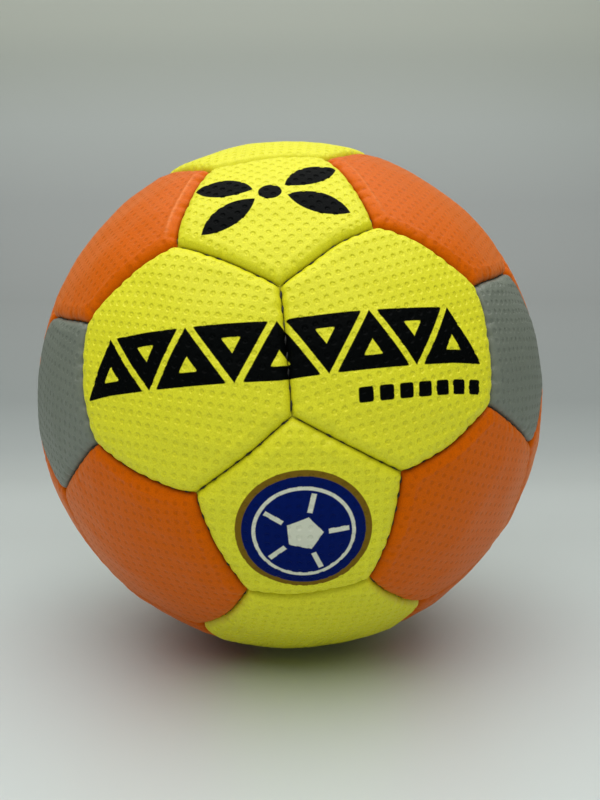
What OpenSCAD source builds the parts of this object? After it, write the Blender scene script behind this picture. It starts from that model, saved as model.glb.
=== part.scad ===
// A hand-stitched handball of twelve pentagons and twenty hexagons, in the pose in which it lies:
// +Z is up, the origin is the ball's centre, and the front of the ball looks along -Y.
// Each panel is built round +Y in its own frame and then turned to its place on the ball.

/* [Ball] */
// Girth of the pumped ball
ball_girth = 590; // [540:1:620]
// Tilt of the ball towards the front, in degrees about X
lie_x = -12.8; // [-180:0.1:180]
// Lean of the ball to the side, in degrees about Y
lie_y = -5.6; // [-180:0.1:180]
// Turn of the ball on the floor, in degrees about Z
lie_z = 0.9; // [-180:0.1:180]

/* [Cover panels] */
// Thickness of the cover
cover_thick = 1.3; // [0.9:0.1:1.6]
// Radius of the roll along each panel's edge
edge_roll = 3; // [2.8:0.1:4]
// Gap between the edges of two sewn panels
seam_gap = 0.1; // [0.06:0.02:0.2]

/* [Backing] */
// Thickness of the foam behind the cover
foam_thick = 2.4; // [2:0.1:3.5]
// Thickness of the woven lining behind the foam
lining_thick = 1.2; // [0.6:0.1:1.8]
// Glue line between two layers
glue_gap = 0.1; // [0.05:0.05:0.2]

/* [Stitching] */
// Diameter of the waxed thread
thread_d = 0.8; // [0.5:0.1:0.9]
// Distance from one stitch to the next
stitch_pitch = 4.5; // [3.5:0.1:6]
// Distance from a panel's corner to the first stitch of a seam
corner_free = 3; // [2.8:0.1:5]
// Height of the stitches over the foot of the rolled edges
stitch_rise = 0.75; // [0.4:0.05:0.8]
// Gap between the thread and the sides of its slit
thread_fit = 0.05; // [0.03:0.01:0.1]

/* [Bladder] */
// Wall of the bladder
bladder_wall = 1; // [0.6:0.1:1.5]
// Diameter of the patch inside the bladder, round the valve
patch_d = 36; // [30:1:45]
// Thickness of that patch
patch_thick = 0.8; // [0.5:0.1:1.2]

/* [Valve] */
// Diameter of the valve seat where it comes through the panel
seat_d = 9; // [8.4:0.1:11]
// Length of the valve seat
seat_length = 21; // [19:0.5:26]
// Diameter of the flange that holds the seat to the patch
flange_d = 22; // [18:0.5:28]
// Thickness of that flange
flange_thick = 1.2; // [0.8:0.1:2]
// Diameter of the air way through the inner end of the seat
airway_d = 3; // [2:0.5:4]
// Depth of the valve's mouth under the crown of the panel
valve_sink = 0.6; // [0.3:0.1:1]
// Gap between the seat and the hole in the panel
seat_fit = 0.2; // [0.1:0.05:0.4]
// Diameter of the plug in the seat
plug_d = 4.6; // [4:0.1:5]
// Length of the plug under its head
plug_length = 17; // [15:0.5:18]
// Diameter of the plug's head
plug_head_d = 6.8; // [6.2:0.1:7.4]
// Thickness of the plug's head
plug_head = 1.2; // [0.8:0.1:1.6]
// Width of the collar that locks the plug in its seat, past the plug's side
collar_width = 0.5; // [0.3:0.1:0.6]
// Height of that collar
collar_height = 1.4; // [1:0.1:2]
// Gap round the plug in its seat
plug_fit = 0.1; // [0.05:0.05:0.15]
// Diameter of the hole for the pump's needle
needle_d = 2; // [1.6:0.1:2.4]
// Depth of the hole for the pump's needle
needle_depth = 12; // [9:0.5:13]
// Widening at the mouth of that hole
needle_lead = 0.5; // [0.3:0.1:0.8]

/* [Hidden] */
$fn = 144;
// How far a cut runs past what it cuts
overrun = 1;
// How far the circle of a roll stands past the faces that it joins, so that it crosses them
roll_bite = 0.01;

yellow = "#E6E83A";
orange = "#E8702E";
grey = "#727A70";
black = "#16171A";
foam_white = "#F1EFE6";
lining_white = "#D8D6CC";
rubber_brown = "#3A2C26";

// Radii of the layers, from the outside in
ball_r = ball_girth / (2 * PI);
foam_r = ball_r - cover_thick - glue_gap;
lining_r = foam_r - foam_thick - glue_gap;
hem_r = lining_r - lining_thick;
bladder_r = hem_r - glue_gap;
patch_r = bladder_r - bladder_wall - glue_gap;
flange_r = patch_r - patch_thick - glue_gap;
reach = ball_r + overrun;

// The flat-faced form of the ball, for an edge of one: its corner radius, and for a panel of so
// many sides the distance of its middle from its own edge and from the ball's centre
golden = (1 + sqrt(5)) / 2;
corner_share = sqrt(9 * golden + 10) / 2;
edge_arc = 2 * asin(1 / (2 * corner_share));
function side_share(sides) = 1 / (2 * tan(180 / sides));
function rim_share(sides) = 1 / (2 * sin(180 / sides));
function middle_share(sides) = sqrt(pow(corner_share, 2) - pow(rim_share(sides), 2));
// Angle at the ball's centre between a panel's middle and the middle of its edge
function half_arc(sides) = atan(side_share(sides) / middle_share(sides));

// Half the width of the plates that panels are cut from, and the run of a roll past its edge
cap_arc = half_arc(6) + edge_arc / 2;
roll_arc = edge_arc * 3 / 2;

// The thread as it lies: drawn thinner across the seam, and pressed flat along it, where its ends
// run on past the last stitches by a share of a stitch
tight_share = 0.9;
flat_share = 0.6;
end_share = 0.15;
run_thick = thread_d * flat_share;
run_width = PI * pow(thread_d / 2, 2) / run_thick;

// Stitches: the runs lie inside the rolls of both hems, and the stitches cross in their slits. The
// backing starts where the roll ends, clear of the thread
stitch_r = ball_r - edge_roll + stitch_rise;
stitched_arc = edge_arc - 2 * asin(corner_free / stitch_r);
stitches = 1 + round(stitched_arc * PI / 180 * stitch_r / stitch_pitch);
stitch_angle = stitched_arc / (stitches - 1);
slit_d = thread_d + 2 * thread_fit;
slit_arc = 2 * asin(slit_d / (2 * stitch_r));
run_arc = stitched_arc + 2 * end_share * stitch_angle;
inner_roll = edge_roll - cover_thick;
run_room = sqrt(pow(inner_roll - thread_fit, 2) - pow(stitch_rise + run_width / 2, 2));
run_offset = seam_gap / 2 + edge_roll - run_room + run_thick / 2;
backing_inset = max(seam_gap / 2 + edge_roll, run_offset + run_thick / 2 + glue_gap);

// Valve, along its axis from the ball's centre
valve_top = ball_r - valve_sink;
seat_end = valve_top - seat_length;
plug_end = valve_top - plug_head - plug_length;
glued_d = seat_d + 2 * glue_gap;

// The twelve pentagons point where the corners of an icosahedron lie
front_high = [0, -golden, 1];
front_low = [0, -golden, -1];
back_high = [0, golden, 1];
back_low = [0, golden, -1];
right_front = [golden, -1, 0];
right_back = [golden, 1, 0];
left_front = [-golden, -1, 0];
left_back = [-golden, 1, 0];
top_right = [1, 0, golden];
top_left = [-1, 0, golden];
bottom_right = [1, 0, -golden];
bottom_left = [-1, 0, -golden];

places = [front_high, front_low, back_high, back_low, right_front, right_back,
          left_front, left_back, top_right, top_left, bottom_right, bottom_left];
// Two of them are near each other if one side of the icosahedron joins them: the next ones are
// farther apart by the golden ratio, so a limit between the two picks them
near_share = norm(front_high - front_low) * (1 + golden) / 2;
near_pairs = [for (i = [0 : len(places) - 2], j = [i + 1 : len(places) - 1])
    if (norm(places[i] - places[j]) < near_share) [places[i], places[j]]];

// Panels: name, colour, the pentagons that it lies between, and for a pentagon a neighbour
PENTAGONS = [
    ["pentagon_yellow_front_high", yellow, [front_high], front_low],
    ["pentagon_yellow_front_low", yellow, [front_low], front_high],
    ["pentagon_yellow_back_high", yellow, [back_high], back_low],
    ["pentagon_yellow_back_low", yellow, [back_low], back_high],
    ["pentagon_grey_right_front", grey, [right_front], right_back],
    ["pentagon_grey_right_back", grey, [right_back], right_front],
    ["pentagon_grey_left_front", grey, [left_front], left_back],
    ["pentagon_grey_left_back", grey, [left_back], left_front],
    ["pentagon_orange_top_right", orange, [top_right], top_left],
    ["pentagon_orange_top_left", orange, [top_left], top_right],
    ["pentagon_orange_bottom_right", orange, [bottom_right], bottom_left],
    ["pentagon_orange_bottom_left", orange, [bottom_left], bottom_right],
];
HEXAGONS = [
    ["hexagon_yellow_front_left", yellow, [front_high, front_low, left_front]],
    ["hexagon_yellow_front_right", yellow, [front_high, front_low, right_front]],
    ["hexagon_yellow_top_front", yellow, [front_high, top_left, top_right]],
    ["hexagon_yellow_bottom_front", yellow, [front_low, bottom_left, bottom_right]],
    ["hexagon_yellow_back_left", yellow, [back_high, back_low, left_back]],
    ["hexagon_yellow_back_right", yellow, [back_high, back_low, right_back]],
    ["hexagon_yellow_top_back", yellow, [back_high, top_left, top_right]],
    ["hexagon_yellow_bottom_back", yellow, [back_low, bottom_left, bottom_right]],
    ["hexagon_orange_front_high_left", orange, [front_high, left_front, top_left]],
    ["hexagon_orange_front_high_right", orange, [front_high, right_front, top_right]],
    ["hexagon_orange_front_low_left", orange, [front_low, left_front, bottom_left]],
    ["hexagon_orange_front_low_right", orange, [front_low, right_front, bottom_right]],
    ["hexagon_orange_back_high_left", orange, [back_high, left_back, top_left]],
    ["hexagon_orange_back_high_right", orange, [back_high, right_back, top_right]],
    ["hexagon_orange_back_low_left", orange, [back_low, left_back, bottom_left]],
    ["hexagon_orange_back_low_right", orange, [back_low, right_back, bottom_right]],
    ["hexagon_orange_left_high", orange, [left_front, left_back, top_left]],
    ["hexagon_orange_left_low", orange, [left_front, left_back, bottom_left]],
    ["hexagon_orange_right_high", orange, [right_front, right_back, top_right]],
    ["hexagon_orange_right_low", orange, [right_front, right_back, bottom_right]],
];
// The valve comes through the middle of this panel
valve_panel = HEXAGONS[12];

function unit(v) = v / norm(v);
function total(list) = len(list) == 1 ? list[0] : list[0] + list[1] + list[2];
function sides_of(panel) = len(panel[2]) == 1 ? 5 : 6;
// A hexagon turns an edge to its first pentagon, and a pentagon turns a corner to its neighbour
function facing(panel) = len(panel[2]) == 1 ? panel[3] : panel[2][0];
function first_turn(panel) = len(panel[2]) == 1 ? 180 / sides_of(panel) : 0;

// Turns the ball from its own axes to the way it lies
module lying() rotate([lie_x, lie_y, lie_z]) children();

// Takes what is built round +Y, with +X forward, to a place on the ball that faces out, and turns
// its +X towards another place
module at_place(out, towards) {
    along = unit(towards - (towards * out) * out);
    across = cross(along, out);
    lying()
        multmatrix([[along.x, out.x, across.x, 0],
                    [along.y, out.y, across.y, 0],
                    [along.z, out.z, across.z, 0],
                    [0, 0, 0, 1]])
            children();
}

module at_panel(panel)
    at_place(unit(total(panel[2])), facing(panel)) rotate([0, first_turn(panel), 0]) children();

// The seam of two hexagons, which runs from one pentagon to another
module at_seam_between(start, end) at_place(unit(start + end), end) children();

// Takes what is built round +Z to the valve's place
module at_valve() at_panel(valve_panel) rotate([-90, 0, 0]) children();

// Each seam of a panel, with +Z square to the seam's plane, into the panel, and +Y at its middle
module at_seam(sides, index)
    rotate([0, index * 360 / sides, 0]) rotate([0, -90, -half_arc(sides)]) children();

module at_seams(sides) for (index = [0 : sides - 1]) at_seam(sides, index) children();

// A round plate of a ball-shaped layer about +Y, wide enough for a panel
module layer_cap(sides, outer_r, inner_r)
    rotate([-90, 90 / sides, 0]) rotate_extrude() intersection() {
        difference() {
            circle(outer_r);
            circle(inner_r);
        }
        square([outer_r * sin(cap_arc), reach]);
    }

// The space inside all seams of a panel, less an inset: a pyramid on the ball's centre
module seam_pyramid(sides, inset) {
    apex = inset / sin(half_arc(sides));
    rim = (reach - apex) * tan(half_arc(sides)) / cos(180 / sides);
    rotate([-90, 180 / sides, 0]) translate([0, 0, apex])
        cylinder(h = reach - apex, r1 = 0, r2 = rim, $fn = sides);
}

// The corner that a roll takes off one edge
module past_roll(radius, inset, roll) {
    middle_y = inset + roll - roll_bite;
    middle_x = sqrt(pow(radius - roll + roll_bite, 2) - pow(middle_y, 2));
    rotate([0, 0, 90 - roll_arc / 2]) rotate_extrude(angle = roll_arc) difference() {
        polygon([[middle_x, middle_y], [middle_x, inset - overrun],
                 [reach, inset - overrun], [reach, middle_y * reach / middle_x]]);
        translate([middle_x, middle_y]) circle(roll);
    }
}

// A layer of one panel between two radii, inside all seams, with plain edges
module plain_layer(sides, outer_r, inner_r, inset)
    intersection() {
        layer_cap(sides, outer_r, inner_r);
        seam_pyramid(sides, inset);
    }

// The same with its first edges rolled, one after another
module rolled_layer(sides, outer_r, inner_r, inset, roll, rolled) {
    if (rolled == 0) plain_layer(sides, outer_r, inner_r, inset);
    else difference() {
        rolled_layer(sides, outer_r, inner_r, inset, roll, rolled - 1);
        at_seam(sides, rolled - 1) past_roll(outer_r, inset, roll);
    }
}

// The places of the stitches along one seam
module at_stitches()
    for (stitch = [0 : stitches - 1])
        rotate([0, 0, (stitch - (stitches - 1) / 2) * stitch_angle]) children();

// The slits that the awl makes through the hems for the stitches
module awl_slits(sides)
    at_seams(sides) at_stitches()
        rotate([0, 0, 90 - slit_arc / 2]) rotate_extrude(angle = slit_arc)
            translate([stitch_r - slit_d / 2, 0]) square([slit_d, edge_roll]);

// Hole for the valve through the middle of a panel
module valve_hole()
    rotate([-90, 0, 0]) cylinder(h = reach, d = seat_d + 2 * seat_fit);

// Cover of one panel: an embossed sheet with its edges rolled in to a hem at the seams
module cover(panel) {
    sides = sides_of(panel);
    color(panel[1]) at_panel(panel) difference() {
        rolled_layer(sides, ball_r, hem_r, seam_gap / 2, edge_roll, sides);
        rolled_layer(sides, ball_r - cover_thick, hem_r - overrun, seam_gap / 2 + cover_thick,
                     inner_roll, sides);
        awl_slits(sides);
        if (panel == valve_panel) valve_hole();
    }
}

// Foam pads glued behind the covers
module foams(panels)
    color(foam_white) for (panel = panels) at_panel(panel) difference() {
        plain_layer(sides_of(panel), foam_r, lining_r + glue_gap, backing_inset);
        if (panel == valve_panel) valve_hole();
    }

// Woven linings glued behind the foam
module linings(panels)
    color(lining_white) for (panel = panels) at_panel(panel) difference() {
        plain_layer(sides_of(panel), lining_r, hem_r, backing_inset);
        if (panel == valve_panel) valve_hole();
    }

// Thread of one seam: a run pressed flat on the hem at each side of it, and the stitches between
module seam_stitches() {
    for (side = [-1, 1])
        rotate([0, 0, 90 - run_arc / 2]) rotate_extrude(angle = run_arc)
            translate([stitch_r, side * run_offset]) square([run_width, run_thick], center = true);
    at_stitches() translate([0, stitch_r, 0])
        cylinder(h = 2 * run_offset, d = thread_d * tight_share, center = true);
}

// Every seam once: all round the pentagons, and from each pentagon to those near it
module seam_thread()
    color(black) {
        for (panel = PENTAGONS) at_panel(panel) at_seams(sides_of(panel)) seam_stitches();
        for (pair = near_pairs) at_seam_between(pair[0], pair[1]) seam_stitches();
    }

// Bladder, open where the valve seat goes through
module bladder()
    color(rubber_brown) difference() {
        lying() sphere(bladder_r);
        lying() sphere(bladder_r - bladder_wall);
        at_valve() cylinder(h = reach, d = glued_d);
    }

// A round piece of a ball-shaped layer about the valve's axis
module round_layer(outer_r, thick, diameter, hole_d)
    rotate_extrude() intersection() {
        difference() {
            circle(outer_r);
            circle(outer_r - thick);
        }
        translate([hole_d / 2, 0]) square([(diameter - hole_d) / 2, reach]);
    }

// Patch inside the bladder that the valve's flange is bonded to
module valve_patch()
    color(black) at_valve() round_layer(patch_r, patch_thick, patch_d, glued_d);

// Valve seat: a rubber tube with a flange in the bladder and its mouth in the panel
module valve_seat()
    color(black) at_valve() difference() {
        union() {
            round_layer(flange_r, flange_thick, flange_d, 0);
            translate([0, 0, seat_end]) cylinder(h = seat_length, d = seat_d);
        }
        valve_plug_form(plug_fit);
        translate([0, 0, seat_end - overrun]) cylinder(h = seat_length, d = airway_d);
    }

module valve_plug_form(gap) {
    translate([0, 0, plug_end - gap])
        cylinder(h = plug_length + 2 * gap, d = plug_d + 2 * gap);
    translate([0, 0, plug_end - gap])
        cylinder(h = collar_height + 2 * gap, d = plug_d + 2 * collar_width + 2 * gap);
    translate([0, 0, valve_top - plug_head - gap])
        cylinder(h = plug_head + gap + overrun * sign(gap), d = plug_head_d + 2 * gap);
}

// Plug in the seat, with the hole for the pump's needle, which ends over the plug's closed slit
module valve_plug()
    color(black) at_valve() difference() {
        valve_plug_form(0);
        translate([0, 0, valve_top - needle_depth])
            cylinder(h = needle_depth + overrun, d = needle_d);
        translate([0, 0, valve_top - needle_lead])
            cylinder(h = needle_lead, d1 = needle_d, d2 = needle_d + 2 * needle_lead);
    }

for (panel = concat(PENTAGONS, HEXAGONS)) cover(panel);
foams(PENTAGONS);  // pentagon_foams
foams(HEXAGONS);  // hexagon_foams
linings(PENTAGONS);  // pentagon_linings
linings(HEXAGONS);  // hexagon_linings
seam_thread();
bladder();
valve_patch();
valve_seat();
valve_plug();
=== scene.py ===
# %% [markdown]
# # A hand-stitched handball
# Thirty-two panels of embossed synthetic leather are sewn into a ball. The CAD model gives every
# panel its place and size. This lesson gives the panels what the eye looks for: the soft roll into
# each seam, the pull of every stitch, the small round craters pressed into the leather, the ink
# printed on it and the waxed thread that shows down in the seams.

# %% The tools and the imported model
import math

import bpy
import numpy as np
from mathutils import Matrix, Vector


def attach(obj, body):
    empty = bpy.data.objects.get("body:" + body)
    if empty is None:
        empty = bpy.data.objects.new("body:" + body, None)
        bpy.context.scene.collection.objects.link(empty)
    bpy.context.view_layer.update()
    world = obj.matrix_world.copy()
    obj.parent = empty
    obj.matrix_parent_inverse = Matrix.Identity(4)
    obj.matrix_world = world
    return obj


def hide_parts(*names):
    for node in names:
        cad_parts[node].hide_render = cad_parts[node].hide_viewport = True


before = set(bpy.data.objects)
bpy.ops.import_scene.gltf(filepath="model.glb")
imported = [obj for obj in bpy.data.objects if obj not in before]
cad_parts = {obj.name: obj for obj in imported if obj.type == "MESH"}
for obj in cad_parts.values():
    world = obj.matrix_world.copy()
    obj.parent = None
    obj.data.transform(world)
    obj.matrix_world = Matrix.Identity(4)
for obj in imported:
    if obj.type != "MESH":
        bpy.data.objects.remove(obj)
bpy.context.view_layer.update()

# %% [markdown]
# ## The camera
# The photograph was taken from close by, a little above the middle of the ball and tilted down by
# five degrees, so the panels near the outline turn away quickly. The place and the lens were
# worked out from the corners of the seams. The camera comes first, so that each later step can be
# looked at through it.

# %% The camera
MM = 0.001
CAMERA_PLACE = (0.00347, -0.32475, 0.02641)
CAMERA_TILT = math.radians(5)

camera_data = bpy.data.cameras.new("camera")
camera_data.sensor_width = 36
camera_data.lens = 37.76
camera = bpy.data.objects.new("camera", camera_data)
camera.location = CAMERA_PLACE
camera.rotation_euler = (math.pi / 2 - CAMERA_TILT, 0, 0)
bpy.context.scene.collection.objects.link(camera)
bpy.context.scene.camera = camera
bpy.context.scene.view_settings.view_transform = "Standard"
print("camera at", CAMERA_PLACE)

# %% [markdown]
# ## The plan of the ball
# A truncated icosahedron has twelve pentagons, which point where the corners of an icosahedron lie,
# and twenty hexagons, each between three pentagons. One table of twelve directions is therefore
# enough to place all thirty-two panels. Names of nodes follow the CAD model.

# %% Directions of the panels
BALL_R = 590 / (2 * math.pi)
GOLDEN = (1 + math.sqrt(5)) / 2
PLACES = {
    "front_high": (0, -GOLDEN, 1), "front_low": (0, -GOLDEN, -1),
    "back_high": (0, GOLDEN, 1), "back_low": (0, GOLDEN, -1),
    "right_front": (GOLDEN, -1, 0), "right_back": (GOLDEN, 1, 0),
    "left_front": (-GOLDEN, -1, 0), "left_back": (-GOLDEN, 1, 0),
    "top_right": (1, 0, GOLDEN), "top_left": (-1, 0, GOLDEN),
    "bottom_right": (1, 0, -GOLDEN), "bottom_left": (-1, 0, -GOLDEN),
}
PAIRS = (("yellow", "front_high", "front_low"), ("yellow", "back_high", "back_low"),
         ("grey", "right_front", "right_back"), ("grey", "left_front", "left_back"),
         ("orange", "top_right", "top_left"), ("orange", "bottom_right", "bottom_left"))
FACES, HANDS, ENDS = ("front", "back"), ("left", "right"), (("high", "top"), ("low", "bottom"))
PENTAGONS, HEXAGONS = {}, {}
for colour, one, other in PAIRS:
    PENTAGONS[one] = (colour, other)
    PENTAGONS[other] = (colour, one)
for face in FACES:
    for hand in HANDS:
        HEXAGONS[f"yellow_{face}_{hand}"] = f"{face}_high {face}_low {hand}_{face}"
    for level, end in ENDS:
        HEXAGONS[f"yellow_{end}_{face}"] = f"{face}_{level} {end}_left {end}_right"
for face in FACES:
    for level, end in ENDS:
        for hand in HANDS:
            HEXAGONS[f"orange_{face}_{level}_{hand}"] = f"{face}_{level} {hand}_{face} {end}_{hand}"
for hand in HANDS:
    for level, end in ENDS:
        HEXAGONS[f"orange_{hand}_{level}"] = f"{hand}_front {hand}_back {end}_{hand}"
VALVE_PANEL = "hexagon_orange_back_high_left"
print("pentagons:", len(PENTAGONS), "hexagons:", len(HEXAGONS))

# %% Each panel's place on the ball as it lies


def unit(v):
    """A vector made one long."""
    v = np.asarray(v, float)
    return v / np.linalg.norm(v)


def turn(axis, degrees):
    """The matrix of a turn about an axis."""
    return np.array(Matrix.Rotation(math.radians(degrees), 3, axis))


# How the ball lies: its top leans back and to the left, and it is turned a little.
LIE = turn("Z", 0.9) @ turn("Y", -5.6) @ turn("X", -12.8)


def axes_at(outward, towards):
    """The columns along, outward and across of a place on the ball, in the row frame."""
    out = unit(outward)
    along = unit(np.asarray(towards) - (np.asarray(towards) @ out) * out)
    return LIE @ np.array([along, out, np.cross(along, out)]).T


panels = []
for place, (colour, neighbour) in PENTAGONS.items():
    axes = axes_at(PLACES[place], PLACES[neighbour])
    panels.append((f"pentagon_{colour}_{place}", colour, 5, axes))
for name, places in HEXAGONS.items():
    corners = [np.array(PLACES[p]) for p in places.split()]
    axes = axes_at(sum(corners), corners[0])
    panels.append((f"hexagon_{name}", name.split("_")[0], 6, axes))
print("panels:", len(panels), "all in the model:", all(p[0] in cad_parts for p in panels))

# %% [markdown]
# ## One panel as a flat map
# Seen from the ball's centre, every seam is a great circle. On a flat map drawn through the ball's
# centre (a gnomonic map) great circles are straight lines, so a panel is simply a regular polygon
# there. A net of small triangles fills that polygon in rings that run along its edges. The rings
# are close together near the edge, where the leather rolls into the seam, and the net is fine
# enough elsewhere to carry the craters.

# %% Angles of the two kinds of panel
CORNER = math.sqrt(9 * GOLDEN + 10) / 2
EDGE_ARC = 2 * math.asin(1 / (2 * CORNER))


def half_arc(sides):
    """Angle at the ball's centre between a panel's middle and the middle of its edge."""
    side, rim = 1 / (2 * math.tan(math.pi / sides)), 1 / (2 * math.sin(math.pi / sides))
    return math.atan(side / math.sqrt(CORNER ** 2 - rim ** 2))


def seam_angles(sides):
    """Directions of the seams on the map: a hexagon turns an edge forward, a pentagon a corner."""
    first = 0 if sides == 6 else math.pi / sides
    return first + np.arange(sides) * 2 * math.pi / sides


# %% The rings of the net
ROLL_WIDTH = 3.8
NET_STEP = 0.31
ROLL_ROWS = 15
GAP = 0.21


def ring(sides, per_side, share):
    """One ring of the map at a share of the panel's size, from a corner on."""
    reach = math.tan(half_arc(sides)) / math.cos(math.pi / sides) * share
    at = seam_angles(sides) - math.pi / sides
    corners = reach * np.column_stack([np.cos(at), np.sin(at)])
    step = (np.arange(per_side) / per_side)[None, :, None]
    nxt = np.roll(corners, -1, axis=0)
    return (corners[:, None] * (1 - step) + nxt[:, None] * step).reshape(-1, 2)


def ring_shares(sides):
    """Shares of the panel's size for its rings, with even steps inside and finer ones on the roll."""
    apothem = BALL_R * half_arc(sides)
    inner = apothem - ROLL_WIDTH
    count = round(inner / (NET_STEP * math.cos(math.pi / sides) ** 0.5))
    even = np.arange(1, count + 1) / count * inner
    roll = np.linspace(0, math.pi / 2, ROLL_ROWS + 1)[1:]
    rolled = apothem - ROLL_WIDTH * (1 - np.sin(roll))
    shares = np.concatenate([even, rolled]) / apothem
    shares[-1] = 1 - GAP / apothem
    return shares


for sides in (5, 6):
    shares = ring_shares(sides)
    print(f"{sides} sides: {len(shares)} rings, {sides * len(shares) ** 2} triangles on the skin")

# %% Faces between two rings


def strip(outer, inner):
    """Triangles between two closed rings of vertices that start at the same angle."""
    a, b, faces = 0, 0, []
    m, n = len(outer), len(inner)
    while a < m or b < n:
        if b == n or (a < m and (a + 1) * n <= (b + 1) * m):
            faces.append((outer[a % m], outer[(a + 1) % m], inner[b % n]))
            a += 1
        else:
            faces.append((inner[b % n], outer[a % m], inner[(b + 1) % n]))
            b += 1
    return faces


def fan(outer, middle):
    """Triangles between a closed ring and a point in its middle."""
    return [(outer[i], outer[(i + 1) % len(outer)], middle) for i in range(len(outer))]


# %% [markdown]
# ## The shape of the skin
# The leather is glued to foam, so each panel swells a little between its seams and rolls down
# steeply in its last 3.8 millimetres. Under the skin the hem doubles back, which leaves a faint
# ridge where the roll starts. At each stitch the thread pulls the edge in. The height of a point
# follows from its distance to the seams, so one function serves all panels.

# %% Distances to the seams
FOOT_DEPTH, STITCH_RISE, CORNER_FREE = 3, 0.75, 3
STITCH_R = BALL_R - FOOT_DEPTH + STITCH_RISE
STITCHED_ARC = EDGE_ARC - 2 * math.asin(CORNER_FREE / STITCH_R)
STITCHES = 8
STITCH_ANGLE = STITCHED_ARC / (STITCHES - 1)
print("stitches a seam:", STITCHES, "apart in mm:", round(STITCH_ANGLE * STITCH_R, 2))


def seam_axes(sides):
    """Per seam of a panel, on (along, out, across): its middle, its inward normal and its run."""
    h, found = half_arc(sides), []
    for a in seam_angles(sides):
        middle = (math.sin(h) * math.cos(a), math.cos(h), math.sin(h) * math.sin(a))
        normal = (-math.cos(h) * math.cos(a), math.sin(h), -math.cos(h) * math.sin(a))
        found.append((np.array(middle), np.array(normal), np.cross(middle, normal)))
    return found


def seam_distances(sides, directions):
    """Distance in millimetres from each seam, and place along it, in stitches from its middle."""
    off, along = [], []
    for middle, normal, run in seam_axes(sides):
        off.append(BALL_R * np.arcsin(np.clip(directions @ normal, -1, 1)))
        along.append(np.arctan2(directions @ run, directions @ middle) / STITCH_ANGLE)
    return np.array(off), np.array(along)


# %% Roll, swell and pucker
ROLL_DEPTH = 2.4
ROLL_START = 2.6
SWELL_DEPTH = 0.30
SWELL_WIDTH = 6.0
SWELL_SHAPE = 1.3
PUCKER_DEPTH = 0.6
PUCKER_WIDTH = 2.2
PUCKER_EVEN = 0.7
PUCKER_SHAPE = 1.5
PUCKER_BLEND = 2.4
RIDGE_HEIGHT = 0.14
RIDGE_WIDTH = 0.9
RIDGE_OFF = 0.4
CORNER_SOFT = 0.9
DEEPEST = 3.4


def seam_drop(off, along, wobble):
    """How far the skin lies under the crown of the ball, from its distances to the seams."""
    near = -CORNER_SOFT * np.log(np.exp(-off / CORNER_SOFT).sum(0))
    near = np.maximum(near, 0)
    into = np.clip(1 - near / ROLL_WIDTH, 0, 1)
    roll = ROLL_DEPTH * (1 - np.sqrt(1 - into ** ROLL_START))
    swell = SWELL_DEPTH * np.exp(-(near / SWELL_WIDTH) ** SWELL_SHAPE)
    at_stitch = 0.5 - 0.5 * np.cos(2 * math.pi * along)
    inside = np.clip((STITCHES / 2 - np.abs(along)) * 2, 0, 1)
    strength = PUCKER_DEPTH * (PUCKER_EVEN + wobble)
    pull = strength * inside * at_stitch ** PUCKER_SHAPE * np.exp(-off / PUCKER_WIDTH)
    pulled = (pull ** PUCKER_BLEND).sum(0) ** (1 / PUCKER_BLEND)
    ridge = RIDGE_HEIGHT * np.exp(-((near - ROLL_WIDTH - RIDGE_OFF) / RIDGE_WIDTH) ** 2)
    return np.minimum(roll + swell + pulled, DEEPEST) - ridge


# %% [markdown]
# ### Bulging seams and folds
# The yellow panels bulge over their neighbours, so seams that would be straight bow out by up to
# two millimetres, and these panels stand three or four tenths of a millimetre proud. On two orange
# panels the hem under the skin pushes up a fold beside the seam.

# %% How the yellow panels bulge over their neighbours
BOWS = {"hexagon_yellow": 1.5, "pentagon_yellow": 1.2}
SEAM_BOWS = {
    ("hexagon_yellow_front_left", "pentagon_grey_left_front"): 2.0,
    ("pentagon_yellow_front_low", "hexagon_yellow_bottom_front"): 1.9,
    ("hexagon_orange_front_low_left", "hexagon_yellow_bottom_front"): 1.3,
    ("hexagon_orange_front_low_right", "hexagon_yellow_bottom_front"): 1.3,
    ("pentagon_grey_left_front", "hexagon_orange_left_high"): 1.2,
}
FOLDS = {
    ("hexagon_orange_front_high_left", "pentagon_yellow_front_high"): (3.4, 0.22),
    ("hexagon_orange_front_high_right", "pentagon_yellow_front_high"): (4.4, 0.1),
}
FOLD_WIDTH, FOLD_REACH = 0.6, 3.8
FOLD_HIGHEST = 0.22
BOW_REACH = 12.0
PROUD, PROUD_REACH = 0.25, 2.0
seam_sides = {}


def seam_key(direction):
    """A name for a seam by its middle's direction in the row frame."""
    return tuple(np.round(direction, 3) + 0.0)


def bow_of(name):
    """How far a panel of that kind bulges, in millimetres."""
    return BOWS.get("_".join(name.split("_")[:2]), 0.0)


for name, colour, sides, axes in panels:
    for middle, normal, run in seam_axes(sides):
        seam_sides.setdefault(seam_key(axes @ middle), []).append(name)


def neighbour_at(axes, middle, name):
    """The panel on the other side of a seam."""
    return next(n for n in seam_sides[seam_key(axes @ middle)] if n != name)


def folds_of(name, sides, axes, off, along):
    """Height of the folds that the hem under the skin pushes up beside some seams."""
    height = np.zeros(off.shape[1])
    for (middle, normal, run), far, place in zip(seam_axes(sides), off, along):
        at, most = FOLDS.get((name, neighbour_at(axes, middle, name)), (0, 0))
        ends = np.clip(1 - (place / FOLD_REACH) ** 4, 0, 1)
        height += most * np.exp(-((far - at) / FOLD_WIDTH) ** 2) * ends
    return height


def bow_at(axes, middle, name, along):
    """How far a seam has moved out from the panel of that name, in millimetres."""
    other = neighbour_at(axes, middle, name)
    most = bow_of(name) - bow_of(other)
    most = SEAM_BOWS.get((name, other), -SEAM_BOWS.get((other, name), -most))
    return most * np.clip(1 - (along * STITCH_ANGLE / (EDGE_ARC / 2)) ** 2, 0, 1)


print("seams:", len(seam_sides))

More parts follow.
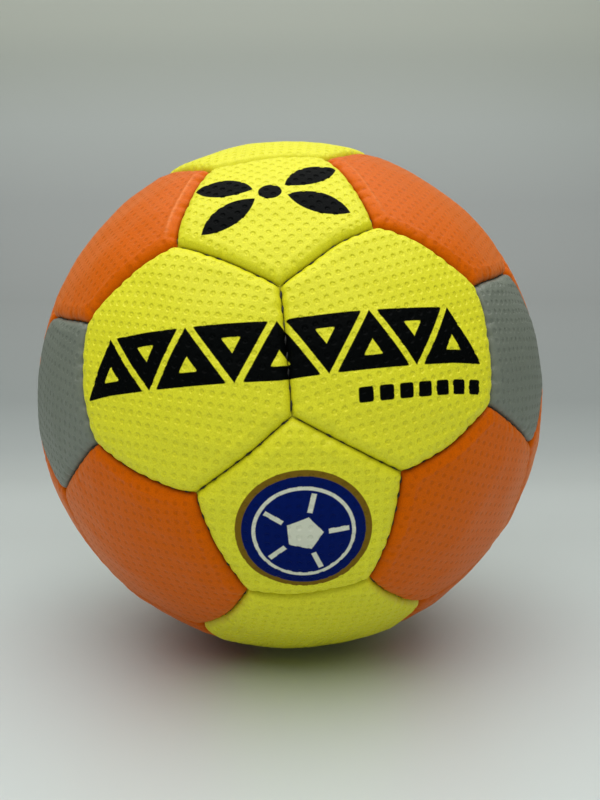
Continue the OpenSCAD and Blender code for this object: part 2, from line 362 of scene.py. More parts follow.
# %% [markdown]
# ### Craters
# The embossing is a square lattice of round craters, each nearly two millimetres across, with a
# flat floor, a small nub in its middle and a faint rim. They are geometry, so they are in the
# meshes too and not only in the shading.

# %% The craters of the embossing
CRATER_PITCH = 3.17
CRATER_R = 0.92
CRATER_FLOOR_R = 0.5
NUB_SHARE = 0.3
RIM_HEIGHT, RIM_OFF, RIM_WIDTH = 0.03, 0.12, 0.16


def smooth(x):
    """A soft step from 0 to 1."""
    x = np.clip(x, 0, 1)
    return x * x * (3 - 2 * x)


def craters(flat, lattice_turn, depth):
    """Depth of the embossing, and each point's place on the lattice of craters, in pitches."""
    c, s = math.cos(lattice_turn), math.sin(lattice_turn)
    u = (flat[:, 0] * c + flat[:, 1] * s) / CRATER_PITCH
    v = (flat[:, 1] * c - flat[:, 0] * s) / CRATER_PITCH
    off = CRATER_PITCH * np.hypot(u - np.round(u), v - np.round(v))
    into = smooth((CRATER_R - off) / (CRATER_R - CRATER_FLOOR_R))
    nub = NUB_SHARE * smooth(1 - off / CRATER_FLOOR_R)
    rim = np.exp(-((off - CRATER_R - RIM_OFF) / RIM_WIDTH) ** 2)
    return depth * (into - nub) - RIM_HEIGHT * rim, np.column_stack([u, v])


# %% [markdown]
# ### A warp for all pieces
# A gentle warp in space takes away the computer's perfection. Its waves move every point by where
# it lies and not by the piece that it belongs to, so neighbours stay together.

# %% The warp that all pieces share
WARP = np.random.default_rng(7)
WARP_SLOPE, WARP_MOST = 0.0045, 0.11
WARP_WAVES = [(unit(WARP.normal(size=3)), length, WARP.uniform(0, 6.28), unit(WARP.normal(size=3)))
              for length in np.geomspace(7, 42, 24)]


def warped(points):
    """Points in millimetres, moved by a soft random field of a few tenths of a millimetre."""
    moved = points.copy()
    for direction, length, phase, way in WARP_WAVES:
        size = min(WARP_SLOPE * length, WARP_MOST)
        moved += size * np.sin(points @ direction * 2 * math.pi / length + phase)[:, None] * way
    return moved


# %% [markdown]
# ## From the map to a mesh
# Each point of the net goes out from the ball's centre through its place on the map, to the height
# that the functions above give. The same rings then go on down into the seam as the turned-in hem,
# and back under the skin, so that a panel is a closed sheet 1.3 mm thick, as the real one is. What
# the materials need to know of a point, such as its depth in a crater, is stored with the mesh.

# %% Making a mesh from arrays


def make_object(name, points, faces):
    """A mesh object from points in millimetres and triangles."""
    mesh = bpy.data.meshes.new(name)
    faces = np.asarray(faces, np.int32)
    mesh.vertices.add(len(points))
    mesh.vertices.foreach_set("co", (np.asarray(points) * MM).astype(np.float32).ravel())
    mesh.loops.add(faces.size)
    mesh.loops.foreach_set("vertex_index", faces.ravel())
    mesh.polygons.add(len(faces))
    mesh.polygons.foreach_set("loop_start", np.arange(0, faces.size, 3, dtype=np.int32))
    mesh.update(calc_edges=True)
    mesh.validate()
    mesh.shade_smooth()
    piece = bpy.data.objects.new(name, mesh)
    bpy.context.scene.collection.objects.link(piece)
    return piece


def store(piece, name, kind, values):
    """Stores a value per vertex, for the materials."""
    layer = piece.data.attributes.new(name, kind, "POINT")
    layer.data.foreach_set("vector" if kind == "FLOAT_VECTOR" else "value",
                           np.asarray(values, np.float32).ravel())


def outward(points, faces):
    """The faces, all turned over if their normals look inward."""
    a, b, c = (points[faces[:, i]] for i in range(3))
    volume = np.einsum("ij,ij->i", a, np.cross(b, c)).sum()
    return faces if volume > 0 else faces[:, ::-1]


# %% One panel
COVER_THICK = 1.3
VALVE_HOLE_R = 4.7
HOLE_RINGS, HOLE_STEP = 8, 0.38
LATTICE_TURNS = {
    "hexagon_yellow_front_left": 77, "hexagon_yellow_front_right": 15,
    "pentagon_yellow_front_low": 6, "pentagon_yellow_front_high": 46,
    "hexagon_orange_front_high_left": 46, "hexagon_orange_front_high_right": 49,
    "hexagon_orange_front_low_left": 16, "hexagon_orange_front_low_right": 16,
    "pentagon_grey_left_front": 27, "pentagon_grey_right_front": 83,
    "hexagon_yellow_top_front": 5, "hexagon_yellow_bottom_front": 15,
}


# %% The nets of the panels


def to_directions(flat):
    """From places on the map to directions on (along, out, across)."""
    d = np.column_stack([flat[:, 0], np.ones(len(flat)), flat[:, 1]])
    return d / np.linalg.norm(d, axis=1)[:, None]


def arc_places(directions):
    """Places in millimetres of arc from the panel's middle."""
    away = np.arccos(np.clip(directions[:, 1], -1, 1))
    flat = directions[:, [0, 2]]
    long = np.linalg.norm(flat, axis=1)
    return flat * (BALL_R * away / np.maximum(long, 1e-9))[:, None]


def panel_net(sides, hole):
    """Map places, rings as index arrays and faces of the skin, with a round hole if asked."""
    shares = ring_shares(sides)
    apothem = BALL_R * half_arc(sides)
    first = 1
    while hole and shares[first - 1] * apothem < hole:
        first += 1
    flats, rings, faces, at = [], [], [], 0
    if not hole:
        flats.append(np.zeros((1, 2)))
        at = 1
    for k in range(first, len(shares) + 1):
        places = ring(sides, k, shares[k - 1])
        if hole:
            round_share = np.clip((k - first) / HOLE_RINGS, 0, 1)
            long = np.linalg.norm(places, axis=1)
            want = math.tan((hole + HOLE_STEP * (k - first)) / BALL_R)
            places = places * (round_share + (1 - round_share) * want / long)[:, None]
        flats.append(places)
        rings.append(np.arange(at, at + sides * k))
        at += sides * k
    faces += [] if hole else fan(rings[0], 0)
    for inner, outer in zip(rings, rings[1:]):
        faces += strip(outer, inner)
    return np.concatenate(flats), rings, faces


NETS = {key: panel_net(*key) for key in ((5, 0), (6, 0), (6, VALVE_HOLE_R))}
print("points on a hexagon's skin:", len(NETS[6, 0][0]))

# %% The hem and the back
HEM_TOP_R, HEM_R, HEM_BACK_R, HEM_POINTS = 89.9, 88.9, 90.2, 40
BACK_INSET, BACK_EDGE = 2.6, 3.6
BACK_ROWS = ((0.75, 2.5, 24), (0.4, 1.9, 8))
BACK_MIDDLE = 1.75


def under_rows(sides, per_side):
    """Share of the panel's size, radius and points per side of each row under the skin."""
    apothem = BALL_R * half_arc(sides)
    outer, inner = 1 - GAP / apothem, 1 - (GAP + COVER_THICK) / apothem
    rows = [(outer, HEM_TOP_R, per_side), (outer, HEM_R, per_side),
            (inner, HEM_R, HEM_POINTS), (inner, HEM_BACK_R, HEM_POINTS),
            (1 - BACK_INSET / apothem, BALL_R - BACK_EDGE, HEM_POINTS)]
    return rows + [(share, BALL_R - depth, count) for share, depth, count in BACK_ROWS]


def bowed(directions, sides, axes, name):
    """Directions moved with the seams that bulge out or are pushed in."""
    off, along = seam_distances(sides, directions)
    moved = directions.copy()
    for (middle, normal, run), far, place in zip(seam_axes(sides), off, along):
        shift = bow_at(axes, middle, name, place) * smooth(1 - far / BOW_REACH)
        moved -= (shift / BALL_R)[:, None] * normal
    return moved / np.linalg.norm(moved, axis=1)[:, None]


# %% From the flat net to a panel
WOBBLE, WOBBLE_RATE, WOBBLE_SHIFT, WOBBLE_TURN = 0.6, 1.7, 2.1, 40
CRATERS_FROM, CRATERS_FADE = 0.7, 2.0
SEAM_FADE = 1.2


def under_side(points, faces, rings, sides, axes, name, lip):
    """Adds the hem and the back to a skin's points and faces, closed in the middle or at a lip."""
    at, last = len(points[0]), rings[-1]
    for share, radius, count in under_rows(sides, len(last) // sides):
        row = bowed(to_directions(ring(sides, count, share)), sides, axes, name) * radius
        index = np.arange(at, at + len(row))
        points.append(row)
        faces.append(np.array(strip(last, index))[:, ::-1])
        at, last = at + len(row), index
    if lip is None:
        points.append(np.array([[0, BALL_R - BACK_MIDDLE, 0]]))
        faces.append(np.array(fan(last, at))[:, ::-1])
    else:
        index = np.arange(at, at + len(lip))
        points.append(lip)
        faces += [np.array(strip(last, index))[:, ::-1], np.array(strip(index, rings[0]))[:, ::-1]]
    return np.concatenate(points), np.concatenate(faces)


def panel_points(name, sides, axes, net, lattice, finish):
    """Points in millimetres on (along, out, across), faces and stored values of one panel."""
    flat, rings, faces = net
    directions = to_directions(flat)
    off, along = seam_distances(sides, directions)
    phase = np.arange(sides)[:, None] * WOBBLE_SHIFT
    wobble = WOBBLE * np.sin(along * WOBBLE_RATE + phase + lattice * WOBBLE_TURN)
    drop = seam_drop(np.maximum(off, 0), along, wobble)
    drop = drop - PROUD * bow_of(name) * smooth(off.min(0) / PROUD_REACH)
    crest = folds_of(name, sides, axes, off, along)
    drop = drop - crest
    directions = bowed(directions, sides, axes, name)
    arc = arc_places(directions)
    pressed, lattice_place = craters(arc + finish["shift"], lattice, finish["depth"])
    fade = smooth((off.min(0) - CRATERS_FROM) / CRATERS_FADE)
    skin = directions * (BALL_R - drop - pressed * fade)[:, None]
    lip = directions[rings[0]] * (BALL_R - BACK_MIDDLE) if finish["hole"] else None
    points, faces = under_side([skin], [np.array(faces)], rings, sides, axes, name, lip)
    rest = np.zeros(len(points) - len(skin))
    values = {
        # seam_near carries the painted shade by the seams; the hem under the skin counts as at the
        # seam and takes it fully.
        "seam_near": np.concatenate([np.exp(-off.min(0) / SEAM_FADE), rest + 1]),
        # The crest value brings a painted highlight onto the crests of the folds.
        "crest": np.concatenate([crest / FOLD_HIGHEST, rest]),
        "crater_place": np.concatenate([np.column_stack([lattice_place, fade]),
                                        np.zeros((len(rest), 3))]),
    }
    return points, outward(points, faces), values


# %% All panels
FINISHES = {
    "yellow": {"depth": 0.23, "shift": np.array([0.4, 0.9])},
    "orange": {"depth": 0.06, "shift": np.array([1.1, 0.2])},
    "grey": {"depth": 0.12, "shift": np.array([0.3, 0.5])},
}
turns = np.random.default_rng(11)
covers, faces_made = {}, 0
for name, colour, sides, axes in panels:
    finish = dict(FINISHES[colour], hole=VALVE_HOLE_R if name == VALVE_PANEL else 0)
    lattice = math.radians(LATTICE_TURNS.get(name, turns.uniform(0, 90)))
    net = NETS[sides, finish["hole"]]
    points, faces, values = panel_points(name, sides, axes, net, lattice, finish)
    piece = make_object(name + "_cover", warped(points @ axes.T), faces)
    store(piece, "seam_near", "FLOAT", values["seam_near"])
    store(piece, "crest", "FLOAT", values["crest"])
    store(piece, "crater_place", "FLOAT_VECTOR", values["crater_place"])
    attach(piece, "root")
    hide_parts(name)
    covers[name] = piece
    faces_made += len(faces)
print("covers:", len(covers), "triangles:", faces_made)

# %% [markdown]
# ## The thread
# The ball is sewn from inside with waxed black thread. From outside only the crossings show, deep
# in the seams, as short dark dashes one stitch apart. Each is a small tube that dips from one hem
# up over the middle of the seam and down into the other.

# %% One crossing, and all of them
THREAD_D = 0.7
CROSSING = np.array([(-1.75, -0.55, -1.2), (-1.15, -0.28, -0.25), (0, 0, 0.0),
                     (1.15, 0.28, -0.25), (1.75, 0.55, -1.2)])
THREAD_TOP_R = 91.8
THREAD_SIDES = 8
THREAD_SUNK, THREAD_SPREAD = 0.35, 0.15


def tube(path, radius):
    """Points and faces of a closed tube along a path."""
    path = np.asarray(path, float)
    ways = np.gradient(path, axis=0)
    around = np.arange(THREAD_SIDES) * 2 * math.pi / THREAD_SIDES
    rows = []
    for at, way in zip(path, ways):
        way = unit(way)
        side = unit(np.cross(way, (0, 0, 1)))
        up = np.cross(side, way)
        rows.append(at + radius * (np.cos(around)[:, None] * side + np.sin(around)[:, None] * up))
    points = np.concatenate(rows + [path[:1], path[-1:]])
    rings = [np.arange(i * THREAD_SIDES, (i + 1) * THREAD_SIDES) for i in range(len(path))]
    faces = fan(rings[0][::-1], len(points) - 2) + fan(rings[-1], len(points) - 1)
    for a, b in zip(rings, rings[1:]):
        faces += [f[::-1] for f in strip(a, b)]
    return points, outward(points, np.array(faces))


seams = {}
for name, colour, sides, axes in panels:
    for middle, normal, run in seam_axes(sides):
        bow = bow_at(axes, middle, name, np.arange(STITCHES) - (STITCHES - 1) / 2)
        seams.setdefault(seam_key(axes @ middle), (*(axes @ v for v in (middle, normal, run)), bow))
shape, shape_faces = tube(CROSSING, THREAD_D / 2)
thread_points, thread_faces, at = [], [], 0
lean = np.random.default_rng(5)
for middle, normal, run, bow in seams.values():
    sunk = lean.uniform(0, THREAD_SUNK)
    for stitch in range(STITCHES):
        angle = (stitch - (STITCHES - 1) / 2) * STITCH_ANGLE
        out = middle * math.cos(angle) + run * math.sin(angle) - normal * bow[stitch] / BALL_R
        way = run * math.cos(angle) - middle * math.sin(angle)
        size = 1 + lean.uniform(-THREAD_SPREAD, THREAD_SPREAD)
        place = out * (THREAD_TOP_R - sunk + lean.uniform(-THREAD_SPREAD, THREAD_SPREAD))
        moved = shape[:, :1] * size * way + shape[:, 1:2] * normal + shape[:, 2:] * out
        thread_points.append(place + moved)
        thread_faces.append(shape_faces + at)
        at += len(shape)
thread_points = np.concatenate(thread_points)
thread = make_object("seam_thread_crossings", warped(thread_points), np.concatenate(thread_faces))
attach(thread, "root")
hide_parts("seam_thread")
print("seams:", len(seams), "stitches:", len(seams) * STITCHES)

# %% [markdown]
# ## Materials
# Every colour is written as it looks (sRGB) and turned to the linear values that the shaders take.
# One function adds a node, sets its values, joins its inputs to other nodes' outputs, and gives
# back one of its own outputs.

# %% Colour and nodes


def linear(code):
    """Linear colour, with alpha, of an sRGB code such as #E4E63C."""
    parts = [int(code[i:i + 2], 16) / 255 for i in (1, 3, 5)]
    return [c / 12.92 if c <= 0.04045 else ((c + 0.055) / 1.055) ** 2.4 for c in parts] + [1]


def add(tree, kind, inputs=(), out=0, **settings):
    """Adds a node with its settings, sets or joins its inputs, and gives one of its outputs."""
    node = tree.nodes.new("ShaderNode" + kind)
    for key, value in settings.items():
        setattr(node, key, value)
    for key, value in inputs.items() if isinstance(inputs, dict) else enumerate(inputs):
        if isinstance(value, bpy.types.NodeSocket):
            tree.links.new(value, node.inputs[key])
        else:
            node.inputs[key].default_value = value
    return node.outputs[out]


def new_material(name, **shader):
    """A material with a Principled shader whose constant sockets are set by name."""
    material = bpy.data.materials.new(name)
    material.use_nodes = True
    tree = material.node_tree
    principled = tree.nodes["Principled BSDF"]
    for key, value in shader.items():
        principled.inputs[key.replace("_", " ")].default_value = value
    return material, tree, principled


# %% [markdown]
# ### Prints
# The prints are screen-printed inks, a few hundredths of a millimetre thick, so they follow the
# craters under them. Their outlines are worked out by arithmetic from a point's place on the
# panel: a number that is negative inside a shape and positive outside. A narrow ramp at zero turns
# it into a mask with a sharp edge. The designs are plain ornament.

# %% Shapes as distances
PRINT_SOFT = 0.12 * MM
PRINT_CORNER = 1.2 * MM


def mask_of(tree, distance):
    """1 inside a shape and 0 outside, from its distance."""
    ends = {1: PRINT_SOFT, 2: -PRINT_SOFT, 3: 0.0, 4: 1.0}
    return add(tree, "MapRange", {0: distance, **ends}, clamp=True)


def place_of(tree, layer):
    """The three numbers of a stored place."""
    vector = add(tree, "Attribute", (), "Vector", attribute_name=layer)
    return list(add(tree, "SeparateXYZ", (vector,)).node.outputs)


def hypot(tree, x, y):
    """The length of (x, y)."""
    squares = [add(tree, "Math", (value, value), operation="MULTIPLY") for value in (x, y)]
    total = add(tree, "Math", squares, operation="ADD")
    return add(tree, "Math", (total,), operation="SQRT")


def towards(tree, x, y, angle):
    """How far (x, y) lies in the direction of an angle."""
    level = add(tree, "Math", (x, math.cos(angle)), operation="MULTIPLY")
    upright = add(tree, "Math", (y, math.sin(angle)), operation="MULTIPLY")
    return add(tree, "Math", (level, upright), operation="ADD")


def beside(tree, value, middle, reach):
    """Distance from the stretch that reaches equally far to both sides of a middle."""
    away = add(tree, "Math", (value, middle), operation="SUBTRACT")
    away = add(tree, "Math", (away,), operation="ABSOLUTE")
    return add(tree, "Math", (away, reach), operation="SUBTRACT")


def repeat(tree, u, period, start):
    """u folded into one period, about zero."""
    steps = (("DIVIDE", period), ("ADD", start), ("FRACT", 0.0), ("SUBTRACT", 0.5),
             ("MULTIPLY", period))
    for step, value in steps:
        u = add(tree, "Math", (u, value), operation=step)
    return u


# %% The band of triangles
TRIANGLE_HALF, TRIANGLE_HIGH, TRIANGLE_STEP = 11 * MM, 17 * MM, 26.5 * MM
WINDOW_RISE, WINDOW_INSET = 0.4 * MM, 4.4 * MM
BAND_SHIFT = 1.0 * MM
BAND_ROWS = ((0.5, 1.0, 64.1 * MM), (0.0, -1.0, 50.9 * MM))
SQUARE_STEP, SQUARE_START, SQUARE_HALF = 6.2 * MM, 0.548, 2.2 * MM
SQUARES_DOWN, SQUARES_MIDDLE, SQUARES_REACH = 15.4 * MM, 43.1 * MM, 21.7 * MM


def triangle(tree, u, v, inset):
    """Distance from an upright triangle whose middle height is at v = 0, made smaller by inset."""
    slope = math.atan2(TRIANGLE_HIGH, TRIANGLE_HALF)
    wide = add(tree, "Math", (u,), operation="ABSOLUTE")
    side = towards(tree, v, wide, slope)
    side_end = TRIANGLE_HIGH / 2 * math.cos(slope) - inset
    side = add(tree, "Math", (side, side_end), operation="SUBTRACT")
    foot = add(tree, "Math", (v, -1.0), operation="MULTIPLY")
    foot = add(tree, "Math", (foot, TRIANGLE_HIGH / 2 - inset), operation="SUBTRACT")
    return add(tree, "Math", (side, foot, PRINT_CORNER), operation="SMOOTH_MAX")


def triangle_row(tree, along, up, start, sign, end):
    """Pierced triangles in a row, all point up or all point down."""
    centred = add(tree, "Math", (along, BAND_SHIFT), operation="SUBTRACT")
    u = repeat(tree, centred, TRIANGLE_STEP, start)
    v = add(tree, "Math", (up, sign), operation="MULTIPLY")
    risen = add(tree, "Math", (v, WINDOW_RISE), operation="ADD")
    window = triangle(tree, u, risen, WINDOW_INSET)
    pierced = add(tree, "Math", (window, -1.0), operation="MULTIPLY")
    row = add(tree, "Math", (triangle(tree, u, v, 0.0), pierced), operation="MAXIMUM")
    ends = beside(tree, along, BAND_SHIFT, end)
    return add(tree, "Math", (row, ends), operation="MAXIMUM")


def square_row(tree, along, up):
    """The row of small squares below the triangles."""
    down = add(tree, "Math", (up, SQUARES_DOWN), operation="ADD")
    parts = (repeat(tree, along, SQUARE_STEP, SQUARE_START), down)
    parts = [add(tree, "Math", (part,), operation="ABSOLUTE") for part in parts]
    square = add(tree, "Math", (*parts, PRINT_CORNER), operation="SMOOTH_MAX")
    square = add(tree, "Math", (square, SQUARE_HALF), operation="SUBTRACT")
    ends = beside(tree, along, SQUARES_MIDDLE, SQUARES_REACH)
    return add(tree, "Math", (square, ends), operation="MAXIMUM")


def band_print(tree):
    """A band of pierced triangles, point up and point down in turn, with a row of squares below."""
    along, up = place_of(tree, "print_place")[:2]
    rows = [triangle_row(tree, along, up, *row) for row in BAND_ROWS]
    triangles = add(tree, "Math", rows, operation="MINIMUM")
    return add(tree, "Math", (triangles, square_row(tree, along, up)), operation="MINIMUM")


# %% The petals
PETAL_AWAY, PETAL_LEAN = 15.5 * MM, math.radians(27)
PETAL_HALF_LONG, PETAL_HALF_WIDE = 10 * MM, 4.5 * MM
DOT_R = 3.6 * MM


def petal_print(tree):
    """Four petals about a round dot. A petal is where two large circles overlap."""
    stored = place_of(tree, "print_place")[:2]
    x, y = [add(tree, "Math", (part,), operation="ABSOLUTE") for part in stored]
    px = add(tree, "Math", (x, PETAL_AWAY * math.cos(PETAL_LEAN)), operation="SUBTRACT")
    py = add(tree, "Math", (y, PETAL_AWAY * math.sin(PETAL_LEAN)), operation="SUBTRACT")
    run = towards(tree, px, py, PETAL_LEAN)
    off = towards(tree, px, py, PETAL_LEAN + math.pi / 2)
    off = add(tree, "Math", (off,), operation="ABSOLUTE")
    bend = (PETAL_HALF_LONG ** 2 - PETAL_HALF_WIDE ** 2) / (2 * PETAL_HALF_WIDE)
    bent = add(tree, "Math", (off, bend), operation="ADD")
    edge = hypot(tree, run, bent)
    petal = add(tree, "Math", (edge, bend + PETAL_HALF_WIDE), operation="SUBTRACT")
    dot = add(tree, "Math", (hypot(tree, x, y), DOT_R), operation="SUBTRACT")
    return add(tree, "Math", (petal, dot), operation="MINIMUM")


# %% The badge
BADGE_R, BADGE_INNER_R = 20.1 * MM, 18.2 * MM
TILE_R = 4.6 * MM
SPOKE_HALF, SPOKE_MIDDLE, SPOKE_REACH = 0.75 * MM, 10.2 * MM, 3 * MM
RING_R, RING_HALF = 14.6 * MM, 0.55 * MM


def badge_prints(tree):
    """Distances of a round badge: its disc, the field in it, and a small pentagon, spokes and ring."""
    x, y = place_of(tree, "print_place")[:2]
    away = hypot(tree, x, y)
    radii = (BADGE_R, BADGE_INNER_R)
    disc, inner = [add(tree, "Math", (away, r), operation="SUBTRACT") for r in radii]
    fifth = 2 * math.pi / 5
    angle = add(tree, "Math", (y, x), operation="ARCTAN2")
    angle = add(tree, "Math", (angle, fifth * 5), operation="ADD")
    folded = add(tree, "Math", (angle, fifth / 2), operation="PINGPONG")
    parts = [add(tree, "Math", (folded,), operation=part) for part in ("COSINE", "SINE")]
    run, off = [add(tree, "Math", (away, part), operation="MULTIPLY") for part in parts]
    tile = towards(tree, run, off, fifth / 2)
    tile = add(tree, "Math", (tile, TILE_R), operation="SUBTRACT")
    spoke = add(tree, "Math", (off, SPOKE_HALF), operation="SUBTRACT")
    spoke_ends = beside(tree, run, SPOKE_MIDDLE, SPOKE_REACH)
    spoke = add(tree, "Math", (spoke, spoke_ends), operation="MAXIMUM")
    white = add(tree, "Math", (spoke, beside(tree, away, RING_R, RING_HALF)), operation="MINIMUM")
    white = add(tree, "Math", (tile, white), operation="MINIMUM")
    return disc, inner, white


# %% [markdown]
# ### Embossed synthetic leather
# The cover is polyurethane film on a fleece backing, pressed hot against an engraved roller. The
# film is close to matt, with a soft gloss where it turns away and a grain of four tenths of a
# millimetre. The craters and the seams are painted darker, as painted shade in the hollows, and
# the crests of the folds are painted paler, as a painted highlight.

# %% The parts of the leather
GRAIN = 0.4 * MM
CLOUD = 18 * MM
GRIT_LEVEL = 0.42
# Besides the bump, the crater mask paints shade into the craters' colour, lighter on the nub.
PIT_STOPS = ((0.45, 0.95), (0.65, 1.0), (1.0, 0.0))
BUMP_DEPTH = 0.09 * MM


def crater_shade(tree, reach, middle):
    """How deep in a crater a point lies, from 0 to 1, less in its middle."""
    u, v, fade = place_of(tree, "crater_place")
    u, v = [add(tree, "Math", (part, 0.5), operation="PINGPONG") for part in (u, v)]
    ramp = add(tree, "ValToRGB", (hypot(tree, u, v),))
    elements = ramp.node.color_ramp.elements
    elements.new(0.1)
    elements.new(0.2)
    stops = [(0.0, middle)] + [(at * reach / CRATER_PITCH, level) for at, level in PIT_STOPS]
    for element, (at, level) in zip(elements, stops):
        element.position = at
        element.color = (level, level, level, 1)
    return add(tree, "Math", (ramp, fade), operation="MULTIPLY")


def leather_tone(tree, look, place, fine, pit):
    """Colour of leather: clouds and grit, with painted shade in the craters and by the seams, and a
    painted highlight on fold crests.
    """
    cloud = add(tree, "TexNoise", {"Vector": place, "Scale": 1 / CLOUD, "Detail": 3.0}, "Fac")
    seam = add(tree, "Attribute", (), "Fac", attribute_name="seam_near")
    crest = add(tree, "Attribute", (), "Fac", attribute_name="crest")
    grit = add(tree, "Math", (fine, GRIT_LEVEL), operation="SUBTRACT")
    seam_shade = add(tree, "Math", (seam, 4.0), operation="POWER")
    # Craters, seams and the hem are darkened as painted shade; fold crests get a painted highlight;
    # clouds and grit are the leather's own tone.
    layers = ((cloud, 0.15, "deep"), (grit, look["grit"], "pit"), (pit, look["pit_shade_share"], "pit"),
              (seam, 0.25, "deep"), (seam_shade, 0.7, "seam_shade"), (crest, 0.38, "crest_highlight"))
    tone = linear(look["colour"])
    for what, most, colour in layers:
        share = add(tree, "Math", (what, most), operation="MULTIPLY")
        tone = add(tree, "Mix", {0: share, 6: tone, 7: linear(look[colour])}, 2, data_type="RGBA")
    return tone


def leather_bump(tree, look, place, fine, pit):
    """Grain, pores and mottle of the film, and the craters once more for their sharp edge."""
    pores = add(tree, "TexVoronoi", {"Vector": place, "Scale": 1 / (2 * GRAIN)}, "Distance")
    coarse = {"Vector": place, "Scale": 1 / (3 * GRAIN), "Detail": 2.0}
    mottle = add(tree, "TexNoise", coarse, "Fac")
    height = add(tree, "Math", (fine, 0.7 * look["grain"]), operation="MULTIPLY")
    layers = ((pores, 0.3), (mottle, 1.2 * look["grain"]), (pit, -look["pit_height"]))
    for what, most in layers:
        part = add(tree, "Math", (what, most), operation="MULTIPLY")
        height = add(tree, "Math", (height, part), operation="ADD")
    return add(tree, "Bump", {"Height": height, "Strength": 0.6, "Distance": BUMP_DEPTH})


# %% Ink and leather together
INKS = {"black": "#040606", "rim": "#7A6018", "field": "#03175C", "pale": "#D9DCC8"}
INK_DULLS = 0.25
ROUGH_SPREAD = 0.12


def inked_tone(tree, tone, prints):
    """The colour with a print on it, and the mask of the print."""
    if prints == "badge":
        disc, inner, white = badge_prints(tree)
        layers = ((disc, "rim"), (inner, "field"), (white, "pale"))
    else:
        disc = {"band": band_print, "petals": petal_print}[prints](tree)
        layers = ((disc, "black"),)
    for distance, ink in layers:
        share = mask_of(tree, distance)
        tone = add(tree, "Mix", {0: share, 6: tone, 7: linear(INKS[ink])}, 2, data_type="RGBA")
    return tone, mask_of(tree, disc)


def leather(name, look, prints=None):
    """Embossed leather of one look, with a print if one is asked for."""
    shine = {"Specular_IOR_Level": look["gloss"], "Specular_Tint": linear(look["tint"])}
    sheen = {"Sheen_Weight": look["sheen"], "Sheen_Tint": linear(look["bloom"])}
    material, tree, shader = new_material(name, IOR=1.45, Sheen_Roughness=0.4, **shine, **sheen)
    place = add(tree, "TexCoord", (), "Object")
    fine = add(tree, "TexNoise", {"Vector": place, "Scale": 1 / GRAIN, "Detail": 2.0}, "Fac")
    pit = crater_shade(tree, look["reach"], look["middle"])
    tone = leather_tone(tree, look, place, fine, pit)
    if prints:
        tone, inked = inked_tone(tree, tone, prints)
        less = add(tree, "Math", (inked, INK_DULLS), operation="MULTIPLY")
        less = add(tree, "Math", (look["gloss"], less), operation="SUBTRACT")
        tree.links.new(less, shader.inputs["Specular IOR Level"])
    rough = add(tree, "Math", (fine, ROUGH_SPREAD), operation="MULTIPLY")
    rough = add(tree, "Math", (rough, look["rough"] - ROUGH_SPREAD / 2), operation="ADD")
    tree.links.new(tone, shader.inputs["Base Color"])
    tree.links.new(rough, shader.inputs["Roughness"])
    tree.links.new(leather_bump(tree, look, place, fine, pit), shader.inputs["Normal"])
    return material


# %% The three looks
# In each look the colours for craters and seams are painted shade, the deep and pit colours also give
# clouds and grit, and the colour for fold crests is a painted highlight.
PLAIN = {"sheen": 0.0, "tint": "#FFFFFF", "bloom": "#FFFFFF", "reach": 0.92, "middle": 1.0}
LOOKS = {
    "yellow": {
        **PLAIN, "colour": "#ECEA2E", "deep": "#CFC80A", "pit": "#C6BE00", "seam_shade": "#6E660C",
        "crest_highlight": "#FFFF8A", "rough": 0.46, "gloss": 0.28, "middle": 0.2, "pit_shade_share": 0.18,
        "pit_height": 1.9, "grain": 1.2, "grit": 1.6},
    "orange": {
        "colour": "#DE6502", "deep": "#B04600", "pit": "#8A3400", "seam_shade": "#6A2602",
        "crest_highlight": "#FFA264", "rough": 0.44, "gloss": 0.26, "sheen": 0.25, "tint": "#FFA83C",
        "bloom": "#FFB050", "reach": 0.84, "middle": 1.0, "pit_shade_share": 0.24, "pit_height": 0.5,
        "grain": 1.3, "grit": 0.9},
    "grey": {
        **PLAIN, "colour": "#767D70", "deep": "#5C6358", "pit": "#50564C", "seam_shade": "#2B2D27",
        "crest_highlight": "#9FA698", "rough": 0.43, "gloss": 0.5, "pit_shade_share": 0.25, "pit_height": 1.8,
        "grain": 1.4, "grit": 0.8},
}
LEATHERS = {c: leather(f"{c}_embossed_leather", look) for c, look in LOOKS.items()}
for name, colour, sides, axes in panels:
    covers[name].data.materials.append(LEATHERS[colour])
print("leathers:", [m.name for m in LEATHERS.values()])

# %% [markdown]
# ### Where the prints lie
# The band runs straight across two hexagons, so its places are measured on the whole ball, with a
# small sag towards the seam between them. The petals and the badge are measured from the middle of
# their own pentagon.

# %% The printed panels
BAND_MIDDLE = unit((-0.0376, -0.9696, 0.2416))
BAND_UP = unit((-0.0910, 0.2441, 0.9655))
BAND_WAY = np.cross(BAND_UP, BAND_MIDDLE)
BAND_SAG, BAND_SAG_REACH = 3.0 * MM, 0.57
SINGLE_PRINTS = (("pentagon_yellow_front_high", "petals", (-2.0, 0.1), 85),
                 ("pentagon_yellow_front_low", "badge", (-2.7, 0), 90))


def points_of(piece):
    """A piece's points, in metres."""
    found = np.empty(len(piece.data.vertices) * 3, np.float32)
    piece.data.vertices.foreach_get("co", found)
    return found.reshape(-1, 3).astype(float)


def print_on(name, finish, places):
    """Stores where the print lies on a panel, and gives it the leather that reads it."""
    piece = covers[name]
    store(piece, "print_place", "FLOAT_VECTOR", np.column_stack([places, np.zeros(len(places))]))
    piece.data.materials[0] = finish


